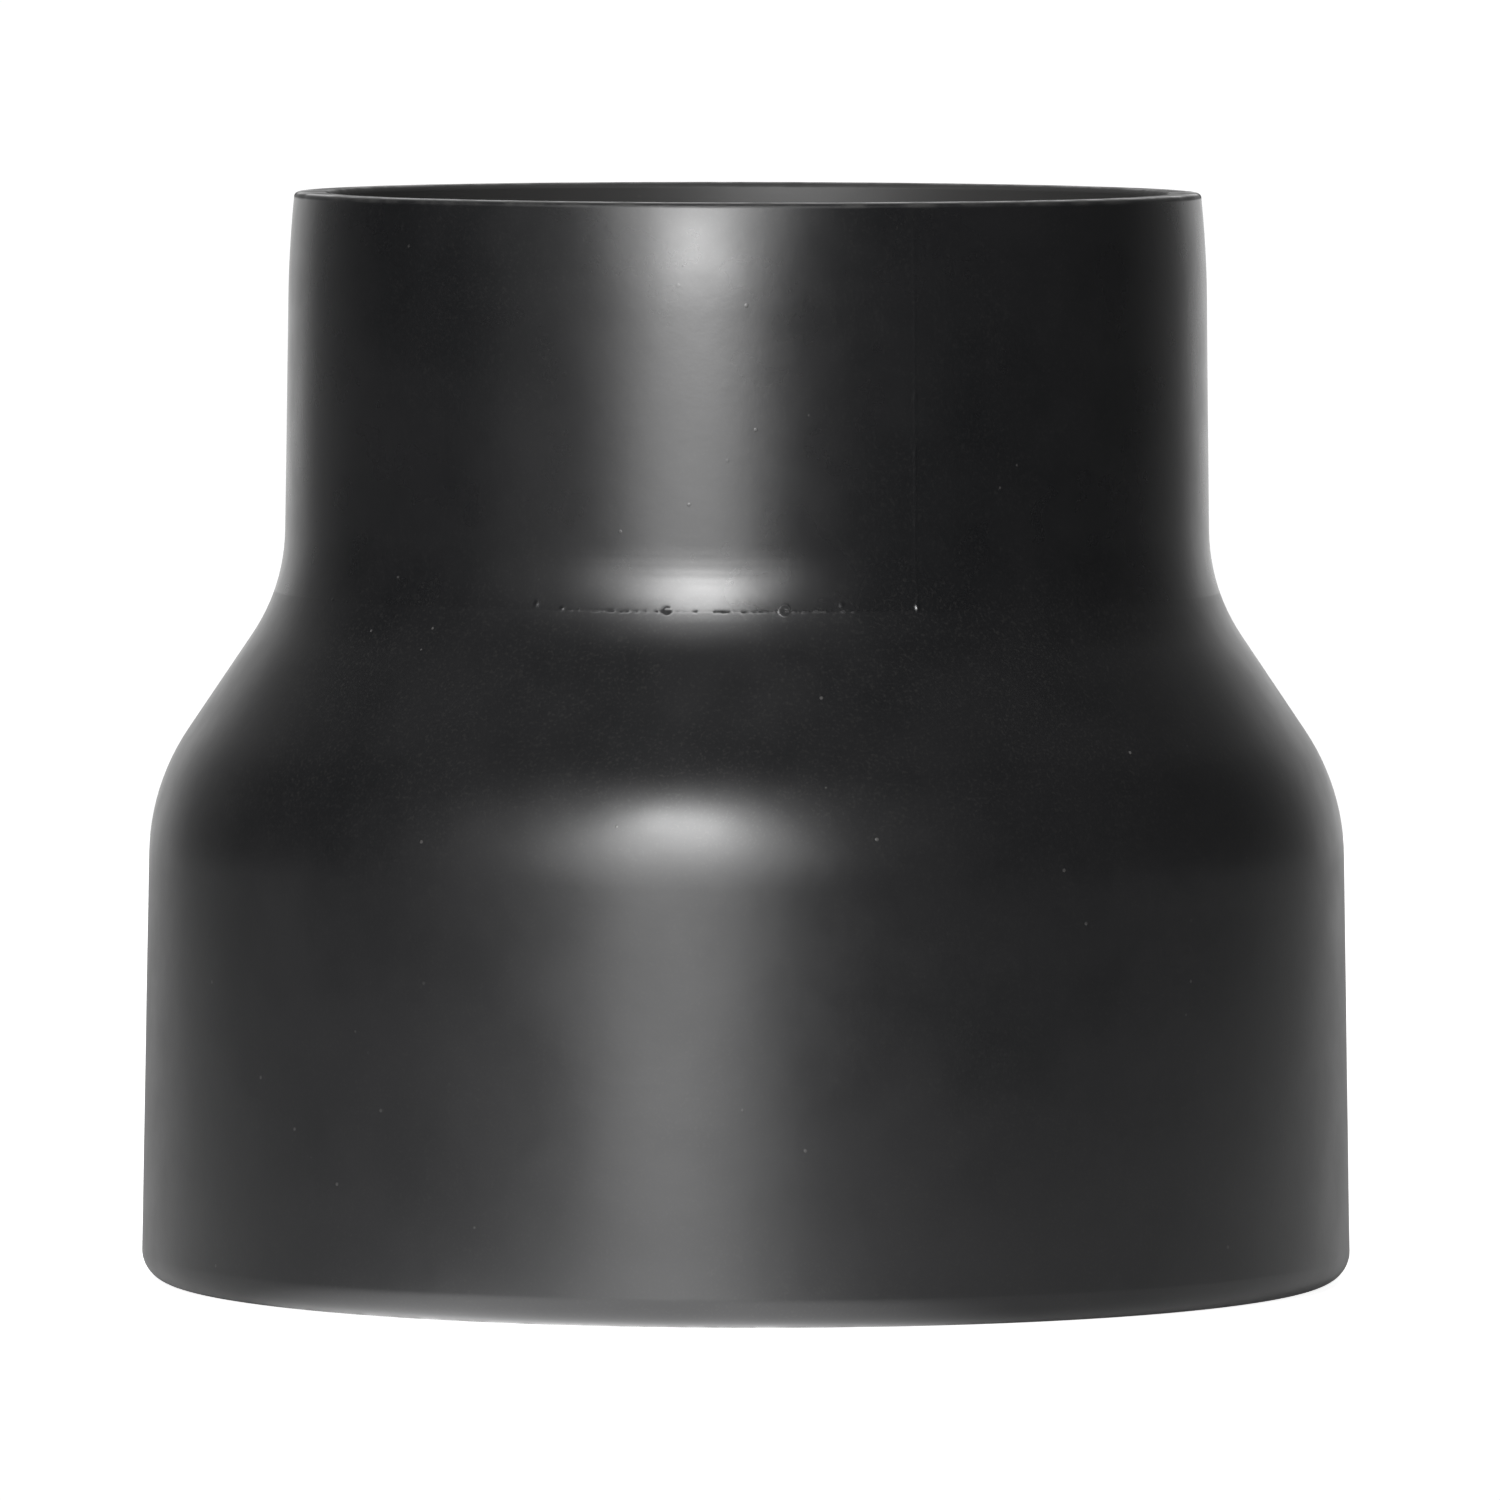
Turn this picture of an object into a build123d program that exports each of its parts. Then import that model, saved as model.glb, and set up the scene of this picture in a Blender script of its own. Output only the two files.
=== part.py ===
"""Concentric reducer coupling: one moulded plastic shell that joins a 4 inch pipe to a 3 inch pipe.

Millimetres, +Z up. The origin is the centre of the wide foot rim, Z is the axis of both sockets, and
-Y is the front. The wide socket opens downwards and the narrow one upwards. Each ends on a stop ledge.
"""

from build123d import *

import os
from math import cos, degrees, radians, sin, sqrt, tan

HEIGHT = 115.8

# Outside of the bell, around the wide socket
FOOT_RADIUS = 64.45
FOOT_EDGE_RADIUS = 3.2
BELL_DRAFT = 0.98  # degrees from the axis, wider towards the foot

# Outside of the flare, between the bell and the neck
FLARE_ANGLE = 34.0  # degrees from the axis
FLARE_MID_RADIUS = 56.86
FLARE_MID_HEIGHT = 62.53
SHOULDER_RADIUS = 24.3
NECK_FILLET_RADIUS = 20.4

# Outside of the neck, around the narrow socket, which ends in a lip that curves gently inwards
NECK_RADIUS = 49.27
NECK_DRAFT = 0.72  # degrees from the axis, narrower towards the lip
LIP_CORNER_DEPTH = 6.0
LIP_CURVE_RADIUS = 110.0
RIM_RADIUS = 48.17
RIM_EDGE_RADIUS = 0.5

# Sockets, for pipes of 114.3 mm and 88.9 mm outside diameter
WIDE_SOCKET_RADIUS = 57.22
WIDE_SOCKET_DEPTH = 44.45
WIDE_LEDGE = 4.0
NARROW_SOCKET_RADIUS = 44.55
NARROW_SOCKET_DEPTH = 38.1
NARROW_LEDGE = 3.55
MOUTH_EDGE_RADIUS = 0.6

# Waterway between the two ledges
FLARE_WALL = 5.8
THROAT_EDGE_RADIUS = 5.0

# Witness lines that the mould leaves: a ring round the neck fillet, and two upright lines above it
RING_HEIGHT = 73.43
RING_BEAD_RADIUS = 0.14
UPRIGHT_WIDTH = 0.3
UPRIGHT_RELIEF = 0.08
UPRIGHT_TOP_GAP = 1.0
UPRIGHT_ANGLE = -69.2  # degrees from +X


def bell_and_flare_meet():
    """Corner where the drafted bell and the straight flare would cross, before it is rounded."""
    flare_slope = tan(radians(FLARE_ANGLE))
    bell_slope = tan(radians(BELL_DRAFT))
    flare_at_foot = FLARE_MID_RADIUS + FLARE_MID_HEIGHT * flare_slope
    height = (flare_at_foot - FOOT_RADIUS) / (flare_slope - bell_slope)
    return FOOT_RADIUS - height * bell_slope, height


def flare_height(radius, wall=0.0):
    """Height at which the flare has a radius, on its outside or a wall thickness inside it."""
    outside = radius + wall / cos(radians(FLARE_ANGLE))
    return FLARE_MID_HEIGHT - (outside - FLARE_MID_RADIUS) / tan(radians(FLARE_ANGLE))


def lip_corner(neck_height):
    """Corner where the drafted neck meets the lip, before the long curve that blends them."""
    height = HEIGHT - LIP_CORNER_DEPTH
    return NECK_RADIUS - (height - neck_height) * tan(radians(NECK_DRAFT)), height


throat_radius = NARROW_SOCKET_RADIUS - NARROW_LEDGE
waterway_radius = WIDE_SOCKET_RADIUS - WIDE_LEDGE
narrow_ledge_height = HEIGHT - NARROW_SOCKET_DEPTH
neck_corner = (NECK_RADIUS, flare_height(NECK_RADIUS))

# The wall's outline as (corner, rounding), up the outside from the foot and down the inside
wall_outline = [
    ((FOOT_RADIUS, 0), FOOT_EDGE_RADIUS),
    (bell_and_flare_meet(), SHOULDER_RADIUS),
    (neck_corner, NECK_FILLET_RADIUS),
    (lip_corner(neck_corner[1]), LIP_CURVE_RADIUS),
    ((RIM_RADIUS, HEIGHT), RIM_EDGE_RADIUS),
    ((NARROW_SOCKET_RADIUS, HEIGHT), MOUTH_EDGE_RADIUS),
    ((NARROW_SOCKET_RADIUS, narrow_ledge_height), 0),
    ((throat_radius, narrow_ledge_height), 0),
    ((throat_radius, flare_height(throat_radius, FLARE_WALL)), THROAT_EDGE_RADIUS),
    ((waterway_radius, flare_height(waterway_radius, FLARE_WALL)), SHOULDER_RADIUS - FLARE_WALL),
    ((waterway_radius, WIDE_SOCKET_DEPTH), 0),
    ((WIDE_SOCKET_RADIUS, WIDE_SOCKET_DEPTH), 0),
    ((WIDE_SOCKET_RADIUS, 0), MOUTH_EDGE_RADIUS),
]

with BuildSketch(Plane.XZ) as wall_section:
    with BuildLine():
        corners = [corner for corner, rounding in wall_outline]
        roundings = [rounding for corner, rounding in wall_outline]
        FilletPolyline(*corners, radius=roundings, close=True)
    make_face()

arcs = wall_section.sketch_local.edges().filter_by(GeomType.CIRCLE)
neck_fillet = arcs.sort_by_distance((*neck_corner, 0))[0]
fillet_centre = neck_fillet.arc_center
ring_radius = fillet_centre.X - sqrt(NECK_FILLET_RADIUS**2 - (RING_HEIGHT - fillet_centre.Y) ** 2)


def upright_plane(angle):
    """Plane through the axis at an angle from +X, with its x along the radius and its y up."""
    turn = radians(angle)
    return Plane(origin=(0, 0, 0), x_dir=(cos(turn), sin(turn), 0), z_dir=(sin(turn), -cos(turn), 0))


with BuildPart() as reducer_body:
    add(wall_section.sketch)
    revolve(axis=Axis.Z)

    # Ring witness line: a bead that stands half out of the wall
    with BuildSketch(Plane.XZ) as ring_bead:
        with Locations((ring_radius, RING_HEIGHT)):
            Circle(RING_BEAD_RADIUS)
    revolve(axis=Axis.Z)

    # Upright witness lines: a sliver of the neck wall, turned a little and moved slightly outwards
    upright_turn = degrees(UPRIGHT_WIDTH / NECK_RADIUS)
    upright_top = HEIGHT - UPRIGHT_TOP_GAP
    for angle in (UPRIGHT_ANGLE, UPRIGHT_ANGLE + 180):
        with BuildSketch(upright_plane(angle)) as upright:
            with Locations((UPRIGHT_RELIEF, 0)):
                add(wall_section.sketch_local)
            with Locations((NARROW_SOCKET_RADIUS + 1, RING_HEIGHT)):
                Rectangle(
                    FOOT_RADIUS,
                    upright_top - RING_HEIGHT,
                    align=(Align.MIN, Align.MIN),
                    mode=Mode.INTERSECT,
                )
        revolve(axis=Axis.Z, revolution_arc=upright_turn)

reducer_body.part.label = "reducer_body"
os.makedirs("parts", exist_ok=True)
export_step(reducer_body.part, "parts/reducer_body.step")
print(f"ring witness line: radius {ring_radius:.2f}, height {RING_HEIGHT:.2f}")
print(f"volume {reducer_body.part.volume / 1000:.1f} cm3")
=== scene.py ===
"""Looks of the concentric reducer coupling: its shell, its black plastic, a white studio and the camera.

Blender units are metres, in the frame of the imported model: +Z up, the origin at the centre of the foot
rim, and -Y the front. Lengths of the moulding are in millimetres, and become metres where the mesh is made.
"""

from math import acos, atan2, ceil, cos, degrees, exp, hypot, pi, radians, sin, sqrt, tan

import bmesh
import bpy
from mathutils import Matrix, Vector, noise


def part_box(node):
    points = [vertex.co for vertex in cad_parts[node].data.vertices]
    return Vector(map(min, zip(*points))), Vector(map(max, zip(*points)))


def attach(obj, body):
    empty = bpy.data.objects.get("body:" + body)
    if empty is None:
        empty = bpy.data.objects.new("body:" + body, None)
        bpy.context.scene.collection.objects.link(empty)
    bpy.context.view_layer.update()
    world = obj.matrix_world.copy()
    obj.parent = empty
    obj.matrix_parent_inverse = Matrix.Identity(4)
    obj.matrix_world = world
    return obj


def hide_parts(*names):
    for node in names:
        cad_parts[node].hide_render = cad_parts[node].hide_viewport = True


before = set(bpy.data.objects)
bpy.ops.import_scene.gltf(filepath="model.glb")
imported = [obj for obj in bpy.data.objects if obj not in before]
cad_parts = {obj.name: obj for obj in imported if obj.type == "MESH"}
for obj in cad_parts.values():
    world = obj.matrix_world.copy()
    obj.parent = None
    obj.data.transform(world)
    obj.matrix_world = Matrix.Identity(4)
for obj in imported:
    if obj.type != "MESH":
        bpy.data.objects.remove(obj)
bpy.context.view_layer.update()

MM = 0.001

# --- Dimensions of the moulding, millimetres ---------------------------------------------------------------

low_corner, high_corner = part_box("reducer_body")
HEIGHT = (high_corner.z - low_corner.z) / MM

FOOT_RADIUS = 64.45
FOOT_EDGE_RADIUS = 3.2
BELL_DRAFT = 0.98  # degrees from the axis
FLARE_ANGLE = 34.0  # degrees from the axis
FLARE_MID_RADIUS = 56.86
FLARE_MID_HEIGHT = 62.53
SHOULDER_RADIUS = 24.3
NECK_FILLET_RADIUS = 20.4
NECK_RADIUS = 49.27
NECK_DRAFT = 0.72  # degrees from the axis
LIP_CORNER_DEPTH = 6.0
LIP_CURVE_RADIUS = 110.0
RIM_RADIUS = 48.17
RIM_EDGE_RADIUS = 0.5
WIDE_SOCKET_RADIUS = 57.22
WIDE_SOCKET_DEPTH = 44.45
WIDE_LEDGE = 4.0
NARROW_SOCKET_RADIUS = 44.55
NARROW_SOCKET_DEPTH = 38.1
NARROW_LEDGE = 3.55
MOUTH_EDGE_RADIUS = 0.6
FLARE_WALL = 5.8
THROAT_EDGE_RADIUS = 5.0

# Ring witness line of the mould, millimetres and degrees from +X
RING_HEIGHT = 73.43
RING_ZONE = 1.2  # the ring's fine rows reach this far on both sides of it
STEP_DEPTH = 0.002  # the wall just under the ring sits back by this
STRONG_FLASH = (-112.0, -76.0)  # the ridge is most ragged between these angles
RIDGE_WIDTH = 0.16
PLAIN_RIDGE = 0.002
STRONG_RIDGE = 0.025  # on top of the plain ridge
CURL_THICKNESS = 0.13
FLASH_CURLS = (  # angle, lift above the ring, size, relief
    (-99.5, 0.15, 0.4, 0.018),
    (-85.5, 0.15, 0.42, 0.07),
)
FLASH_BURRS = (  # angle, lift above the ring, width, height, relief
    (-115.9, 0.65, 0.2, 0.3, 0.07),
    (-112.5, 0.22, 0.18, 0.2, 0.055),
    (-78.7, 0.75, 0.2, 0.2, 0.06),
    (-69.4, 0.45, 0.2, 0.4, 0.13),
    (-150.0, 0.1, 0.12, 0.12, 0.04),
    (-146.5, 0.0, 0.12, 0.12, 0.03),
    (-142.0, 0.1, 0.12, 0.12, 0.04),
    (-139.0, 0.0, 0.12, 0.12, 0.03),
    (66.0, 0.3, 0.2, 0.25, 0.05),
    (124.0, 0.5, 0.25, 0.2, 0.04),
)

# Upright witness lines, millimetres and degrees from +X
UPRIGHT_ANGLES = (-69.2, 110.8)
UPRIGHT_TOP_GAP = 1.0
UPRIGHT_REACH = 1.5  # the lines fade out within this
UPRIGHT_WIDTH = 0.16
UPRIGHT_RIDGE = 0.013
UPRIGHT_RAGGED = 0.018
BEAD_HEIGHTS = (82.7, 86.0, 87.8, 89.6, 95.6)
BEAD_SHIFT = 1.7  # the second line's beads sit higher by this
BEAD_RELIEF = 0.06
BEAD_LENGTH = 0.28

# Warp of the wall, millimetres
WARP_DEPTH = 0.03
RIPPLE_DEPTH = 0.008
WARP_SINK = 0.04  # keeps the warped wall inside the moulding's box

# Mesh: counts of columns, and lengths in millimetres
COLUMNS = 256
RING_SPLITS = 9  # fine columns in each column of the ring zone
RING_ROWS = (0.03, 0.06, 0.09, 0.13, 0.18, 0.24, 0.31, 0.39, 0.48, 0.58, 0.7, 0.85, 1.0, RING_ZONE)
RING_MARGIN = 0.25  # from the ring's last fine row to the next row of the wall, at least
UPRIGHT_COLUMNS = (-0.5, -0.3, -0.2, -0.1, 0, 0.1, 0.2, 0.3, 0.5)
UPRIGHT_MARGIN = 0.7  # no other column comes nearer to an upright line
ARC_STEP = 3.0  # degrees
ROW_STEP = 2.0
NECK_ROW_STEP = 0.45
FINE_NECK_TOP = 97.0
SHARP_ANGLE = 40  # degrees


# --- Outline of the wall -----------------------------------------------------------------------------------


def bell_and_flare_meet():
    """Corner where the drafted bell and the straight flare would cross, before it is rounded."""
    flare_slope = tan(radians(FLARE_ANGLE))
    bell_slope = tan(radians(BELL_DRAFT))
    flare_at_foot = FLARE_MID_RADIUS + FLARE_MID_HEIGHT * flare_slope
    height = (flare_at_foot - FOOT_RADIUS) / (flare_slope - bell_slope)
    return FOOT_RADIUS - height * bell_slope, height


def flare_height(radius, wall=0.0):
    """Height at which the flare has a radius, on its outside or a wall thickness inside it."""
    outside = radius + wall / cos(radians(FLARE_ANGLE))
    return FLARE_MID_HEIGHT - (outside - FLARE_MID_RADIUS) / tan(radians(FLARE_ANGLE))


def lip_corner(neck_height):
    """Corner where the drafted neck meets the lip, before the long curve that blends them."""
    height = HEIGHT - LIP_CORNER_DEPTH
    return NECK_RADIUS - (height - neck_height) * tan(radians(NECK_DRAFT)), height


throat_radius = NARROW_SOCKET_RADIUS - NARROW_LEDGE
waterway_radius = WIDE_SOCKET_RADIUS - WIDE_LEDGE
narrow_ledge_height = HEIGHT - NARROW_SOCKET_DEPTH
neck_corner = (NECK_RADIUS, flare_height(NECK_RADIUS))

# The wall's outline as (corner, rounding), up the outside from the foot and down the inside
outer_corners = [
    ((FOOT_RADIUS, 0), FOOT_EDGE_RADIUS),
    (bell_and_flare_meet(), SHOULDER_RADIUS),
    (neck_corner, NECK_FILLET_RADIUS),
    (lip_corner(neck_corner[1]), LIP_CURVE_RADIUS),
    ((RIM_RADIUS, HEIGHT), RIM_EDGE_RADIUS),
]
inner_corners = [
    ((NARROW_SOCKET_RADIUS, HEIGHT), MOUTH_EDGE_RADIUS),
    ((NARROW_SOCKET_RADIUS, narrow_ledge_height), 0),
    ((throat_radius, narrow_ledge_height), 0),
    ((throat_radius, flare_height(throat_radius, FLARE_WALL)), THROAT_EDGE_RADIUS),
    ((waterway_radius, flare_height(waterway_radius, FLARE_WALL)), SHOULDER_RADIUS - FLARE_WALL),
    ((waterway_radius, WIDE_SOCKET_DEPTH), 0),
    ((WIDE_SOCKET_RADIUS, WIDE_SOCKET_DEPTH), 0),
    ((WIDE_SOCKET_RADIUS, 0), MOUTH_EDGE_RADIUS),
]


def rounded_corner(before, corner, after, rounding):
    """Points of the arc that rounds a corner, or the corner alone where it stays sharp."""
    here = Vector(corner)
    if rounding == 0:
        return [here]
    back = (Vector(before) - here).normalized()
    ahead = (Vector(after) - here).normalized()
    half = acos(back.dot(ahead)) / 2
    centre = here + (back + ahead).normalized() * rounding / sin(half)
    first = here + back * rounding / tan(half) - centre
    last = here + ahead * rounding / tan(half) - centre
    sweep = pi - 2 * half
    steps = max(3, ceil(sweep / radians(ARC_STEP)), ceil(sweep * rounding / ROW_STEP))
    points = []
    for step in range(steps + 1):
        share = step / steps
        mixed = (first * sin((1 - share) * sweep) + last * sin(share * sweep)) / sin(sweep)
        points.append(centre + mixed)
    return points


def wall_middle(height):
    """A radius inside the wall at a height, which parts the outside from the inside."""
    if height > narrow_ledge_height:
        return NARROW_SOCKET_RADIUS + 2
    if height > WIDE_SOCKET_DEPTH:
        flare_foot = flare_height(waterway_radius, FLARE_WALL)
        share = min(1.0, max(0.0, (height - flare_foot) / (narrow_ledge_height - flare_foot)))
        low_middle = waterway_radius + 3
        high_middle = throat_radius + 4
        return low_middle + (high_middle - low_middle) * share
    return WIDE_SOCKET_RADIUS + 2


def row_step(point):
    """Longest gap between rows at a place on the outline."""
    on_neck = point.x > wall_middle(point.y) and neck_corner[1] < point.y < FINE_NECK_TOP
    return NECK_ROW_STEP if on_neck else ROW_STEP


def wall_rows():
    """Closed outline of the wall, up the outside and down the inside, cut into rows."""
    outline = outer_corners + inner_corners
    places = [corner for corner, rounding in outline]
    points = []
    for index, (corner, rounding) in enumerate(outline):
        after = places[(index + 1) % len(places)]
        points += rounded_corner(places[index - 1], corner, after, rounding)
    rows = []
    for index, point in enumerate(points):
        following = points[(index + 1) % len(points)]
        middle = (point + following) / 2
        parts = ceil((following - point).length / row_step(middle))
        rows += [point.lerp(following, part / parts) for part in range(parts)]
    return rows


# --- Flash of the witness lines ----------------------------------------------------------------------------


def fillet_arc_centre():
    """Centre of the arc that blends the neck into the flare."""
    draft = radians(NECK_DRAFT)
    flare = radians(FLARE_ANGLE)
    half = (pi - (flare - draft)) / 2
    along_bisector = NECK_FILLET_RADIUS / sin(half)
    tilt = (draft + flare) / 2
    outwards = Vector((cos(tilt), sin(tilt)))
    return Vector(neck_corner) + outwards * along_bisector


fillet_centre = fillet_arc_centre()
ring_reach = sqrt(NECK_FILLET_RADIUS**2 - (RING_HEIGHT - fillet_centre.y) ** 2)
ring_place = Vector((fillet_centre.x - ring_reach, RING_HEIGHT))


def smooth_step(low, high, value):
    """Smooth rise from 0 at low to 1 at high; a fall where low is the larger of the two."""
    share = min(1.0, max(0.0, (value - low) / (high - low)))
    return share * share * (3 - 2 * share)


def remainder_turn(angle):
    """The same angle between -pi and pi."""
    return (angle + pi) % (2 * pi) - pi


def ring_way(angle, place):
    """Distance along the ring line from a place in degrees."""
    return remainder_turn(angle - radians(place)) * ring_place.x


def around(angle, waves, seed):
    """Smooth noise from -1 to 1 that closes on itself round the axis, with about this many waves."""
    reach = waves / pi
    return noise.noise(Vector((cos(angle) * reach, sin(angle) * reach, seed)))


def ring_flash(angle, offset):
    """How far the ragged flash on the ring line stands out: offset is the way up from the line."""
    turned = degrees(angle)
    low, high = STRONG_FLASH
    strong = smooth_step(low - 1, low + 1, turned) * smooth_step(high + 4, high - 4, turned)
    ragged = 1.6 * max(0.0, around(angle, 260, 3.1)) + 0.8 * max(0.0, around(angle, 620, 8.7))
    height = 0.0005 + ragged * (PLAIN_RIDGE + STRONG_RIDGE * strong)
    lean = 0.08 * around(angle, 200, 5.5) + 0.04 * strong
    return height * exp(-(((offset - lean) / RIDGE_WIDTH) ** 2))


def ring_step(offset):
    """How far the wall just under the ring line sits back from the wall above it."""
    return STEP_DEPTH * smooth_step(0.02, -0.08, offset) * smooth_step(-RING_ZONE, -0.1, offset)


def curl(angle, offset, place, lift, size, relief):
    """Small curl of flash beside the ring line, open towards larger angles."""
    along = ring_way(angle, place)
    away = hypot(along, offset - lift)
    open_side = smooth_step(0.3, 1.0, abs(atan2(offset - lift, along)))
    return relief * open_side * exp(-(((away - size) / CURL_THICKNESS) ** 2))


def burr(angle, offset, place, lift, wide, tall, relief):
    """Small raised burr beside the ring line."""
    along = ring_way(angle, place)
    return relief * exp(-((along / wide) ** 2) - ((offset - lift) / tall) ** 2)


def torn_relief(angle, offset):
    """The torn flash: the ragged ridge and its curls."""
    return ring_flash(angle, offset) + sum(curl(angle, offset, *place) for place in FLASH_CURLS)


def flash_relief(angle, offset):
    """All the flash at and beside the ring line."""
    return torn_relief(angle, offset) + sum(burr(angle, offset, *place) for place in FLASH_BURRS)


def upright_relief(angle, height):
    """How far the surface stands out near the two upright lines of the neck."""
    if not ring_place.y < height < HEIGHT - UPRIGHT_TOP_GAP:
        return 0.0
    relief = 0.0
    for index, place in enumerate(UPRIGHT_ANGLES):
        across = remainder_turn(angle - radians(place)) * NECK_RADIUS
        if abs(across) > UPRIGHT_REACH:
            continue
        ragged = max(0.0, noise.noise(Vector((height * 0.6, 4.0 * index, 1.3))))
        ways = [height - bead - BEAD_SHIFT * index for bead in BEAD_HEIGHTS]
        beads = sum(exp(-((way / BEAD_LENGTH) ** 2)) for way in ways)
        stands = UPRIGHT_RIDGE + UPRIGHT_RAGGED * ragged + BEAD_RELIEF * beads
        relief += stands * exp(-((across / UPRIGHT_WIDTH) ** 2))
    return relief


def waviness(angle, height):
    """Slight sink and warp of the moulded wall, in millimetres."""
    place = Vector((cos(angle) * 1.6, sin(angle) * 1.6, height * 0.035))
    fine = Vector((cos(angle) * 5.0, sin(angle) * 5.0, height * 0.11 + 20))
    return WARP_DEPTH * noise.noise(place) + RIPPLE_DEPTH * noise.noise(fine) - WARP_SINK


# --- Mesh of the shell -------------------------------------------------------------------------------------


def column_angles():
    """Angles of the columns, with extra ones across the upright lines."""
    angles = [2 * pi * column / COLUMNS - pi for column in range(COLUMNS)]
    for place in UPRIGHT_ANGLES:
        middle = radians(place)
        clear = UPRIGHT_MARGIN / NECK_RADIUS
        angles = [angle for angle in angles if abs(remainder_turn(angle - middle)) > clear]
        angles += [middle + gap / NECK_RADIUS for gap in UPRIGHT_COLUMNS]
    return sorted(angles)


def split_angles(angles):
    """Each gap between columns cut into the ring zone's fine columns."""
    fine = []
    for index, angle in enumerate(angles):
        following = angles[index + 1] if index + 1 < len(angles) else angles[0] + 2 * pi
        fine += [angle + (following - angle) * part / RING_SPLITS for part in range(RING_SPLITS)]
    return fine


def add_row(mesh, angles, radius, height, relief, inside=0.0):
    """One closed row of vertices round the axis; relief gives how far each stands out along the radius."""
    inside_layer = mesh.verts.layers.float["inside"]
    row = []
    for angle in angles:
        reach = (radius + relief(angle)) * MM
        vertex = mesh.verts.new((reach * cos(angle), reach * sin(angle), height * MM))
        vertex[inside_layer] = inside
        row.append(vertex)
    return row


def row_part(row, column, count):
    """The vertices of a closed row that lie on one of its equal parts, both ends included."""
    split = len(row) // count
    return [row[(column * split + step) % len(row)] for step in range(split + 1)]


def join_rows(mesh, lower, upper):
    """Faces between two rows, where one may have a whole number of vertices for each of the other's."""
    count = min(len(lower), len(upper))
    for column in range(count):
        low_part = row_part(lower, column, count)
        high_part = row_part(upper, column, count)
        mesh.faces.new(low_part + high_part[::-1]).smooth = True


def shell_relief(height, outside):
    """Relief of one row as a function of the angle: lines and warp outside, a weaker warp inside."""
    fade = smooth_step(0, 6, height) * smooth_step(HEIGHT, HEIGHT - 6, height)

    def relief(angle):
        warp = waviness(angle, height) * fade
        return warp + upright_relief(angle, height) if outside else warp * 0.5

    return relief


def zone_relief(height, offset):
    """Relief of one fine row as a function of the angle; the ring's own relief ends with the zone."""
    edge = smooth_step(RING_ZONE, RING_ZONE - 0.15, abs(offset))

    def relief(angle):
        lines = (flash_relief(angle, offset) - ring_step(offset)) * edge
        return waviness(angle, height) + lines + upright_relief(angle, height)

    return relief


def ring_zone_rows(mesh, angles):
    """Fine rows across the ring line, along the neck fillet's arc, which know where the flash is torn."""
    torn_layer = mesh.verts.layers.float["torn"]
    rows = []
    arm = ring_place - fillet_centre
    for offset in [-row for row in reversed(RING_ROWS)] + [0.0, *RING_ROWS]:
        turn = -offset / NECK_FILLET_RADIUS
        spun = Vector((arm.x * cos(turn) - arm.y * sin(turn), arm.x * sin(turn) + arm.y * cos(turn)))
        place = fillet_centre + spun
        row = add_row(mesh, angles, place.x, place.y, zone_relief(place.y, offset))
        for vertex, angle in zip(row, angles):
            vertex[torn_layer] = smooth_step(0.004, 0.02, torn_relief(angle, offset))
        rows.append(row)
    return rows


def build_shell():
    """The whole shell as one closed surface, with its witness lines in the mesh and its ledges sharp."""
    mesh = bmesh.new()
    mesh.verts.layers.float.new("inside")
    mesh.verts.layers.float.new("torn")
    coarse = column_angles()
    fine = split_angles(coarse)
    rows = []
    ring_done = False
    for place in wall_rows():
        in_ring_zone = (place - ring_place).length < RING_ZONE + RING_MARGIN
        if in_ring_zone and not ring_done:
            rows += ring_zone_rows(mesh, fine)
            ring_done = True
        if in_ring_zone:
            continue
        outside = place.x > wall_middle(place.y)
        relief = shell_relief(place.y, outside)
        rows.append(add_row(mesh, coarse, place.x, place.y, relief, float(not outside)))
    for lower, upper in zip(rows, rows[1:] + rows[:1]):
        join_rows(mesh, lower, upper)
    data = bpy.data.meshes.new("shell")
    mesh.normal_update()
    mesh.to_mesh(data)
    mesh.free()
    data.set_sharp_from_angle(angle=radians(SHARP_ANGLE))
    return data


# --- Black plastic -----------------------------------------------------------------------------------------

DEEP_BLACK = (0.0055, 0.0057, 0.0063)
PALE_BLACK = (0.0095, 0.0095, 0.0102)
DUST_FILM = (0.019, 0.0187, 0.0184)
DUST_SPECK = (0.08, 0.078, 0.076)
# lighter grey for the walls inside the sockets, which makes them read brighter
SOCKET_BLACK = (0.032, 0.0315, 0.031)
WORN_BLACK = (0.03, 0.0295, 0.029)
FLARE_ROUGHNESS = 0.325
NECK_ROUGHNESS = 0.285
RIM_ROUGHENING = 0.2
TORN_ROUGHENING = 0.55
SOCKET_ROUGHENING = 0.18
WORN_ROUGHENING = 0.2
GRAIN_DEPTH = 0.000011  # metres
PLASTIC_IOR = 1.52

# Patterns of the surface, in repeats to the metre
CLOUDS = 42.0
FILM_GRAINS = 3200.0
FILM_PATCHES = 160.0
SPECK_CELLS = 260.0
SPECK_AREAS = 75.0
WEAR_PATCHES = 260.0
POLISH_PATCHES = 95.0
PEEL = 380.0
FINE_GRAIN = 2400.0


def new_node(tree, kind, **settings):
    """A node of a kind, with its settings made."""
    node = tree.nodes.new(kind)
    for name, value in settings.items():
        setattr(node, name, value)
    return node


def noise_of(tree, place, scale, detail, roughness):
    """Noise from 0 to 1 in the object's own space."""
    node = new_node(tree, "ShaderNodeTexNoise")
    node.inputs["Scale"].default_value = scale
    node.inputs["Detail"].default_value = detail
    node.inputs["Roughness"].default_value = roughness
    tree.links.new(place, node.inputs["Vector"])
    return node.outputs["Fac"]


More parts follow.
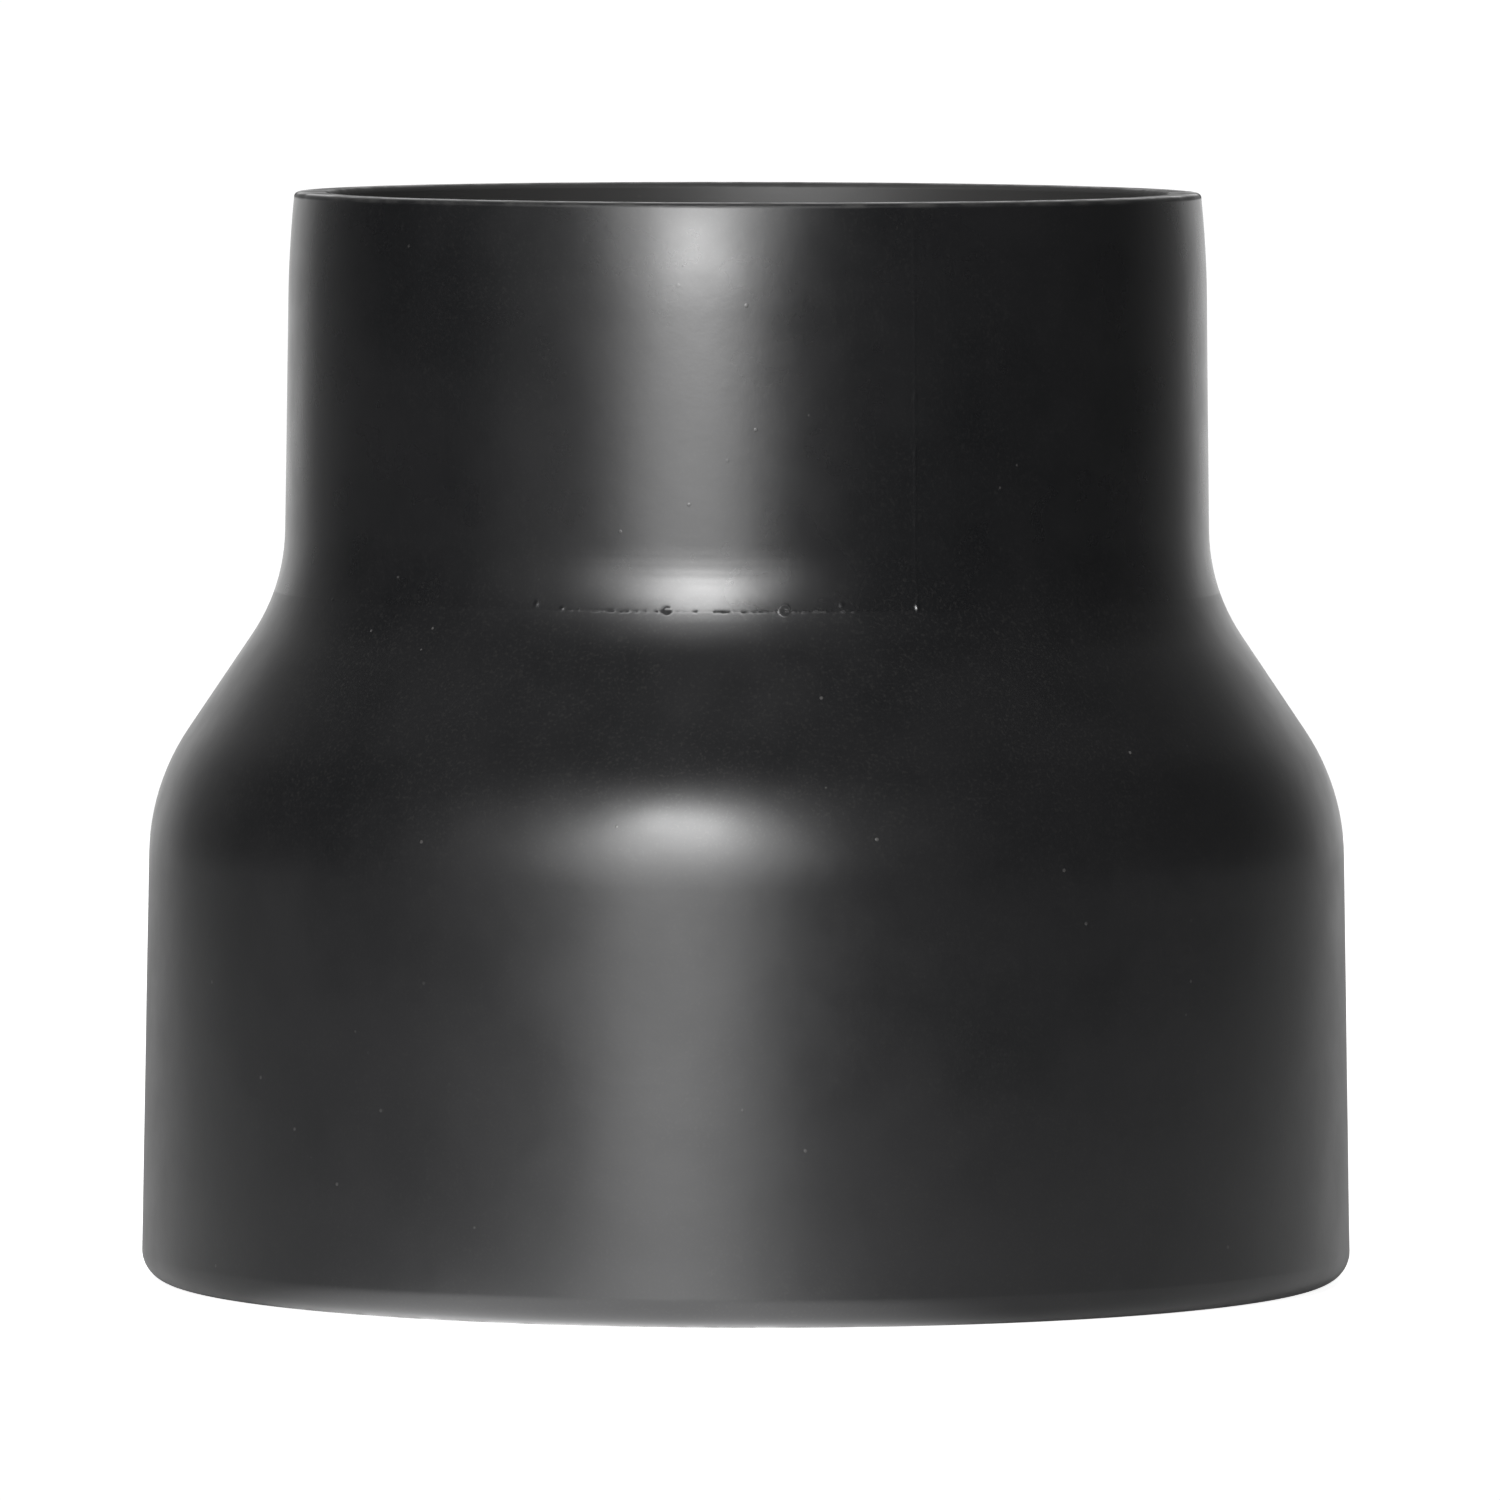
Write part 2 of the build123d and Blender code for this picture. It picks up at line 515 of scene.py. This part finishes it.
def remap(tree, value, low, high, out_low, out_high):
    """Value moved smoothly from one range to another, and held within it."""
    node = new_node(tree, "ShaderNodeMapRange", interpolation_type="SMOOTHSTEP")
    for socket, number in zip(("From Min", "From Max", "To Min", "To Max"), (low, high, out_low, out_high)):
        node.inputs[socket].default_value = number
    tree.links.new(value, node.inputs["Value"])
    return node.outputs["Result"]


def math_of(tree, operation, first, second):
    """First and second joined by an operation; either may be a plain number."""
    node = new_node(tree, "ShaderNodeMath", operation=operation)
    for socket, value in zip(node.inputs, (first, second)):
        if isinstance(value, (int, float)):
            socket.default_value = value
        else:
            tree.links.new(value, socket)
    return node.outputs["Value"]


def sum_of(tree, first, *others):
    """All the values added up."""
    for value in others:
        first = math_of(tree, "ADD", first, value)
    return first


def product_of(tree, first, *others):
    """All the values multiplied."""
    for value in others:
        first = math_of(tree, "MULTIPLY", first, value)
    return first


def mix_colour(tree, share, first, second):
    """Colour between first and second; either may be a plain colour."""
    node = new_node(tree, "ShaderNodeMix", data_type="RGBA")
    tree.links.new(share, node.inputs["Factor"])
    for name, value in (("A", first), ("B", second)):
        socket = [entry for entry in node.inputs if entry.name == name and entry.type == "RGBA"][0]
        if isinstance(value, tuple):
            socket.default_value = (*value, 1.0)
        else:
            tree.links.new(value, socket)
    return [entry for entry in node.outputs if entry.type == "RGBA"][0]


def mesh_value(tree, name):
    """A value that the mesh carries under a name."""
    return new_node(tree, "ShaderNodeAttribute", attribute_name=name).outputs["Fac"]


def component_of(tree, vector, axis):
    """One component of a vector."""
    split = new_node(tree, "ShaderNodeSeparateXYZ")
    tree.links.new(vector, split.inputs["Vector"])
    return split.outputs[axis]


def dust_settling(tree):
    """Where dust settles: fully on what faces up, less on what faces down."""
    normal = new_node(tree, "ShaderNodeNewGeometry").outputs["Normal"]
    return remap(tree, component_of(tree, normal, "Z"), -0.1, 0.6, 0.4, 1.0)


def dust_film(tree, place, settling):
    """A patchy film of fine dust."""
    grains = remap(tree, noise_of(tree, place, FILM_GRAINS, 1.0, 0.5), 0.5, 0.8, 0.0, 1.0)
    patches = remap(tree, noise_of(tree, place, FILM_PATCHES, 2.0, 0.6), 0.3, 0.7, 0.6, 1.0)
    return product_of(tree, grains, patches, settling)


def dust_specks(tree, place, settling):
    """Single specks of dust, on some parts of the surface only."""
    cells = new_node(tree, "ShaderNodeTexVoronoi")
    cells.inputs["Scale"].default_value = SPECK_CELLS
    tree.links.new(place, cells.inputs["Vector"])
    specks = remap(tree, cells.outputs["Distance"], 0.035, 0.06, 1.0, 0.0)
    chosen = remap(tree, noise_of(tree, place, SPECK_AREAS, 1.0, 0.5), 0.52, 0.6, 0.0, 1.0)
    return product_of(tree, specks, chosen, settling)


def rim_wear(tree, place, height):
    """Uneven wear on the top rim and the foot rim."""
    top_rim = remap(tree, height, (HEIGHT - 0.7) * MM, (HEIGHT - 0.1) * MM, 0.0, 1.0)
    foot_rim = remap(tree, height, 0.6 * MM, 0.05 * MM, 0.0, 1.0)
    uneven = remap(tree, noise_of(tree, place, WEAR_PATCHES, 3.0, 0.6), 0.42, 0.62, 0.0, 1.0)
    return product_of(tree, sum_of(tree, top_rim, foot_rim), uneven)


def plastic_colour(tree, place, film, specks, inside, wear):
    """Cloudy black under pale dust, a lighter grey in the sockets and a little lighter on the worn rims."""
    clouds = remap(tree, noise_of(tree, place, CLOUDS, 4.0, 0.6), 0.3, 0.7, 0.0, 1.0)
    colour = mix_colour(tree, clouds, DEEP_BLACK, PALE_BLACK)
    colour = mix_colour(tree, film, colour, DUST_FILM)
    colour = mix_colour(tree, specks, colour, DUST_SPECK)
    colour = mix_colour(tree, product_of(tree, inside, 0.9), colour, SOCKET_BLACK)
    return mix_colour(tree, wear, colour, WORN_BLACK)


def plastic_roughness(tree, place, height, inside, wear):
    """Smoother above the ring line than below it; duller on torn flash, in the sockets and on the rims."""
    seam = RING_HEIGHT * MM
    polish = remap(tree, height, seam - 0.1 * MM, seam + 0.1 * MM, FLARE_ROUGHNESS, NECK_ROUGHNESS)
    rim_starts = remap(tree, height, (HEIGHT - 0.6) * MM, (HEIGHT - 0.4) * MM, 0.0, RIM_ROUGHENING)
    rim_ends = remap(tree, height, (HEIGHT - 0.2) * MM, (HEIGHT - 0.05) * MM, 0.0, -RIM_ROUGHENING)
    uneven = remap(tree, noise_of(tree, place, POLISH_PATCHES, 4.0, 0.6), 0.25, 0.75, -0.025, 0.03)
    torn = product_of(tree, mesh_value(tree, "torn"), TORN_ROUGHENING)
    sockets = product_of(tree, inside, SOCKET_ROUGHENING)
    worn = product_of(tree, wear, WORN_ROUGHENING)
    return sum_of(tree, polish, rim_starts, rim_ends, uneven, torn, sockets, worn)


def plastic_grain(tree, place, specks):
    """Slight peel and fine grain of the mould's surface, under raised specks."""
    peel = noise_of(tree, place, PEEL, 2.0, 0.5)
    fine = noise_of(tree, place, FINE_GRAIN, 1.5, 0.5)
    bump = new_node(tree, "ShaderNodeBump")
    bump.inputs["Strength"].default_value = 1.0
    bump.inputs["Distance"].default_value = GRAIN_DEPTH
    relief = sum_of(tree, product_of(tree, fine, 0.3), peel, product_of(tree, specks, 2.0))
    tree.links.new(relief, bump.inputs["Height"])
    return bump.outputs["Normal"]


def black_plastic():
    """Satin black moulded plastic."""
    material = bpy.data.materials.new("black_plastic")
    material.use_nodes = True
    tree = material.node_tree
    place = new_node(tree, "ShaderNodeTexCoord").outputs["Object"]
    height = component_of(tree, place, "Z")
    inside = mesh_value(tree, "inside")
    settling = dust_settling(tree)
    film = dust_film(tree, place, settling)
    specks = dust_specks(tree, place, settling)
    wear = rim_wear(tree, place, height)
    colour = plastic_colour(tree, place, film, specks, inside, wear)
    roughness = plastic_roughness(tree, place, height, inside, wear)
    normal = plastic_grain(tree, place, specks)
    shader = tree.nodes["Principled BSDF"]
    shader.inputs["IOR"].default_value = PLASTIC_IOR
    tree.links.new(colour, shader.inputs["Base Color"])
    tree.links.new(roughness, shader.inputs["Roughness"])
    tree.links.new(normal, shader.inputs["Normal"])
    return material


# --- Studio ------------------------------------------------------------------------------------------------

TARGET = Vector((0, 0, 0.075))  # what the lights face
SOFTBOXES = (  # name, azimuth, elevation, distance, width and height in degrees, radiance
    ("main_core", -12.5, 31.5, 1.5, 13, 11, 20),
    ("main_softbox", -12.5, 20.5, 1.6, 25, 19, 11),
    ("main_halo", -14, 14.5, 1.7, 46, 34, 3.4),
    ("low_softbox", -13, -1, 2.4, 29, 20, 3.3),
    ("strip_softbox", -10.5, 15.2, 0.19, 15.5, 5, 21.5),
    ("left_fill", -42, 10, 1.8, 50, 50, 0.28),
)
FLOOR_RADIUS = 0.5
FLOOR_SIDES = 96
FLOOR_SHIFT = 0.3  # how far behind the object the middle of the round floor is
FLOOR_GAP = 0.00002  # so that the foot rim and the floor are never in one plane
FLOOR_GREY = 0.8
FLOOR_ROUGHNESS = 0.8
FLOOR_SHOWN = 0.93  # glow of the floor as the camera sees it
POOL_PLACE = (-0.018, -0.066, 0)  # where a painted pool of the main light glows in the floor, for what the object reflects
POOL_CORE_RADIUS = 0.015
POOL_RADIUS = 0.05
# glow of the painted pool of light at its middle
PAINTED_POOL_GLOW = 2.4
FLOOR_GLOW = 0.1  # glow of the rest of the floor, as the object reflects it
BACKDROP_SHOWN = 1.05
SURROUNDINGS_STRENGTH = 1.5
SURROUNDINGS = (  # how far back a direction points, from -1 to 1, and how white it is there
    (0.4, 0.03),
    (0.6, 0.09),
    (0.78, 0.14),
    (0.86, 0.5),
    (0.95, 0.68),
    (1.0, 1.0),
)
STEEP_FROM = 0.5  # directions that rise more than this count as further back
STEEP_GAIN = 1.5


def seen_at(azimuth, elevation, distance):
    """Place at a distance from the target: azimuth is degrees to the right of the front."""
    turn = radians(azimuth)
    rise = radians(elevation)
    return TARGET + distance * Vector((sin(turn) * cos(rise), -cos(turn) * cos(rise), sin(rise)))


def softbox(name, azimuth, elevation, distance, wide, tall, radiance):
    """Oval soft light that faces the target; wide and tall are degrees as the target sees them."""
    light = bpy.data.lights.new(name, "AREA")
    light.shape = "ELLIPSE"
    light.size = 2 * distance * tan(radians(wide / 2))
    light.size_y = 2 * distance * tan(radians(tall / 2))
    light.energy = radiance * pi * light.size * light.size_y * pi / 4
    lamp = bpy.data.objects.new(name, light)
    lamp.location = seen_at(azimuth, elevation, distance)
    lamp.rotation_euler = (TARGET - lamp.location).to_track_quat("-Z", "Y").to_euler()
    lamp.visible_camera = False
    bpy.context.scene.collection.objects.link(lamp)


def shown_or_reflected(tree, shown, reflected):
    """One number where the camera sees a stage surface, and a value where light is worked out from it."""
    choice = new_node(tree, "ShaderNodeMix", data_type="FLOAT")
    tree.links.new(new_node(tree, "ShaderNodeLightPath").outputs["Is Camera Ray"], choice.inputs["Factor"])
    tree.links.new(reflected, choice.inputs["A"])
    choice.inputs["B"].default_value = shown
    return choice.outputs["Result"]


def floor_disc():
    """Flat disc, its middle a little behind the object."""
    mesh = bmesh.new()
    middle = mesh.verts.new((0, FLOOR_SHIFT, 0))
    edge = []
    for side in range(FLOOR_SIDES):
        turn = 2 * pi * side / FLOOR_SIDES
        edge.append(mesh.verts.new((FLOOR_RADIUS * cos(turn), FLOOR_SHIFT + FLOOR_RADIUS * sin(turn), 0)))
    for here, following in zip(edge, edge[1:] + edge[:1]):
        mesh.faces.new((middle, here, following))
    data = bpy.data.meshes.new("floor")
    mesh.to_mesh(data)
    mesh.free()
    return data


def white_floor():
    """Matt white that glows a little, as the floor of a white studio does, with a painted pool of the main
    light glowing near the foot for what the object reflects; clear from below.
    """
    material = bpy.data.materials.new("white_floor")
    material.use_nodes = True
    tree = material.node_tree
    shader = tree.nodes["Principled BSDF"]
    shader.inputs["Base Color"].default_value = (FLOOR_GREY, FLOOR_GREY, FLOOR_GREY, 1)
    shader.inputs["Roughness"].default_value = FLOOR_ROUGHNESS
    shader.inputs["Emission Color"].default_value = (1, 1, 1, 1)
    away = new_node(tree, "ShaderNodeVectorMath", operation="DISTANCE")
    tree.links.new(new_node(tree, "ShaderNodeTexCoord").outputs["Object"], away.inputs[0])
    away.inputs[1].default_value = POOL_PLACE
    # painted pool of light: the floor glows brighter round POOL_PLACE, for reflected rays only
    painted_pool = remap(tree, away.outputs["Value"], POOL_CORE_RADIUS, POOL_RADIUS, PAINTED_POOL_GLOW, FLOOR_GLOW)
    tree.links.new(shown_or_reflected(tree, FLOOR_SHOWN, painted_pool), shader.inputs["Emission Strength"])
    side = new_node(tree, "ShaderNodeMixShader")
    tree.links.new(new_node(tree, "ShaderNodeNewGeometry").outputs["Backfacing"], side.inputs["Fac"])
    tree.links.new(shader.outputs["BSDF"], side.inputs[1])
    tree.links.new(new_node(tree, "ShaderNodeBsdfTransparent").outputs["BSDF"], side.inputs[2])
    tree.links.new(side.outputs["Shader"], tree.nodes["Material Output"].inputs["Surface"])
    return material


def build_floor():
    """Round white table under the object."""
    data = floor_disc()
    data.materials.append(white_floor())
    floor = bpy.data.objects.new("floor", data)
    floor.location.z = -FLOOR_GAP
    bpy.context.scene.collection.objects.link(floor)


def white_surroundings():
    """White wherever the camera looks; what the object reflects is white behind it and dim in front."""
    world = bpy.data.worlds.new("studio")
    bpy.context.scene.world = world
    world.use_nodes = True
    tree = world.node_tree
    direction = new_node(tree, "ShaderNodeTexCoord").outputs["Generated"]
    above_steep = math_of(tree, "SUBTRACT", component_of(tree, direction, "Z"), STEEP_FROM)
    steepness = product_of(tree, math_of(tree, "MAXIMUM", above_steep, 0.0), STEEP_GAIN)
    backwards = sum_of(tree, component_of(tree, direction, "Y"), steepness)
    levels = new_node(tree, "ShaderNodeValToRGB")
    tree.links.new(backwards, levels.inputs["Fac"])
    stops = levels.color_ramp.elements
    for position, level in SURROUNDINGS[1:-1]:
        stops.new(position)
    for stop, (position, level) in zip(stops, SURROUNDINGS):
        stop.position = position
        stop.color = (level, level, level, 1)
    reflected = product_of(tree, levels.outputs["Color"], SURROUNDINGS_STRENGTH)
    background = tree.nodes["Background"]
    background.inputs["Color"].default_value = (1, 1, 1, 1)
    tree.links.new(shown_or_reflected(tree, BACKDROP_SHOWN, reflected), background.inputs["Strength"])


# --- Camera ------------------------------------------------------------------------------------------------

CAMERA_PLACE = Vector((0.00016, -1.9, 0.1606))
CAMERA_PITCH = 3.139  # degrees down
CAMERA_ROLL = -0.10  # degrees
CAMERA_LENS = 428.8  # millimetres
SENSOR_WIDTH = 36  # millimetres
CAMERA_REACH = 100  # metres


def place_camera():
    """Long lens at the front, a little above the object."""
    data = bpy.data.cameras.new("camera")
    data.lens = CAMERA_LENS
    data.sensor_width = SENSOR_WIDTH
    data.clip_end = CAMERA_REACH
    camera = bpy.data.objects.new("camera", data)
    camera.location = CAMERA_PLACE
    camera.rotation_euler = (radians(90 - CAMERA_PITCH), radians(CAMERA_ROLL), 0)
    bpy.context.scene.collection.objects.link(camera)
    bpy.context.scene.camera = camera


# --- Scene -------------------------------------------------------------------------------------------------

shell_mesh = build_shell()
shell_mesh.materials.append(black_plastic())
shell = bpy.data.objects.new("reducer_shell", shell_mesh)
bpy.context.scene.collection.objects.link(shell)
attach(shell, "root")
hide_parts("reducer_body")

build_floor()
white_surroundings()
for settings in SOFTBOXES:
    softbox(*settings)
place_camera()
bpy.context.scene.view_settings.view_transform = "Standard"
